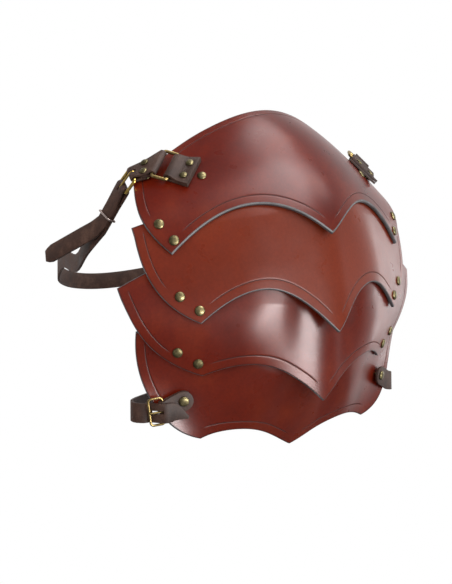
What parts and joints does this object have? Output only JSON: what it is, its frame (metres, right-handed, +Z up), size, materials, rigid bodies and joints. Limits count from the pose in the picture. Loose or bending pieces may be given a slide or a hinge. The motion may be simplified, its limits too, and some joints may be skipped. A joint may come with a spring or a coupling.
{
  "type": "leather shoulder pauldron",
  "caption": "Leather shoulder armour of overlapping curved plates with scalloped edges, joined by domed rivets, worn with a buckled strap round the chest and another round the arm.",
  "frame": {"origin": "where the top plate rests on the point of the shoulder, on the front-to-back mirror plane of the plates", "axes": "+Z up, +X out from the wearer's body, +Y towards the wearer's back"},
  "size_m": [0.3849, 0.3494, 0.3084],
  "materials": {
    "oxblood_leather": "semi-gloss, hand-stained",
    "strap_leather": "matt, waxed",
    "aged_brass": "antiqued"
  },
  "bodies": {
    "pauldron": {"top_plate": "oxblood_leather", "second_lame": "oxblood_leather", "third_lame": "oxblood_leather", "bottom_lame": "oxblood_leather", "front_top_lame_rivet_high": "aged_brass", "front_top_lame_rivet_low": "aged_brass", "rear_top_lame_rivet_high": "aged_brass", "rear_top_lame_rivet_low": "aged_brass", "front_second_lame_rivet_high": "aged_brass", "front_second_lame_rivet_low": "aged_brass", "rear_second_lame_rivet_high": "aged_brass", "rear_second_lame_rivet_low": "aged_brass", "front_third_lame_rivet_high": "aged_brass", "front_third_lame_rivet_low": "aged_brass", "rear_third_lame_rivet_high": "aged_brass", "rear_third_lame_rivet_low": "aged_brass", "front_single_rivet": "aged_brass", "rear_single_rivet": "aged_brass", "front_plate_tab": "strap_leather", "front_ring": "aged_brass", "front_backing_patch": "strap_leather", "front_tab_rivet_upper": "aged_brass", "front_tab_rivet_lower": "aged_brass", "rear_plate_tab": "strap_leather", "rear_ring": "aged_brass", "rear_backing_patch": "strap_leather", "rear_tab_rivet_upper": "aged_brass", "rear_tab_rivet_lower": "aged_brass", "front_buckle_tab": "strap_leather", "front_buckle_tab_rivet_upper": "aged_brass", "front_buckle_tab_rivet_lower": "aged_brass", "front_buckle_frame": "aged_brass", "chest_strap": "strap_leather", "rear_strap_rivet_upper": "aged_brass", "rear_strap_rivet_lower": "aged_brass", "arm_buckle_tab": "strap_leather", "arm_buckle_frame": "aged_brass", "arm_front_rivet": "aged_brass", "arm_strap": "strap_leather", "arm_rear_rivet": "aged_brass"},
    "chest_prong": {"front_buckle_prong": "aged_brass"},
    "arm_prong": {"arm_buckle_prong": "aged_brass"},
    "keeper": {"chest_strap_keeper": "aged_brass"}
  },
  "joints": [
    {"name": "chest_prong_hinge", "type": "hinge", "parent": "pauldron", "child": "chest_prong", "pos_m": [-0.05682, -0.13824, -0.03289], "axis": [-0.8291, 0.3094, 0.4656], "range_deg": [0, 75]},
    {"name": "arm_prong_hinge", "type": "hinge", "parent": "pauldron", "child": "arm_prong", "pos_m": [-0.01446, -0.13602, -0.23778], "axis": [0.0454, -0.1743, 0.9836], "range_deg": [0, 18]},
    {"name": "keeper_slide", "type": "slide", "parent": "pauldron", "child": "keeper", "axis": [-0.4205, -0.3004, -0.8561], "range_m": [-0.007, 0.005]}
  ]
}
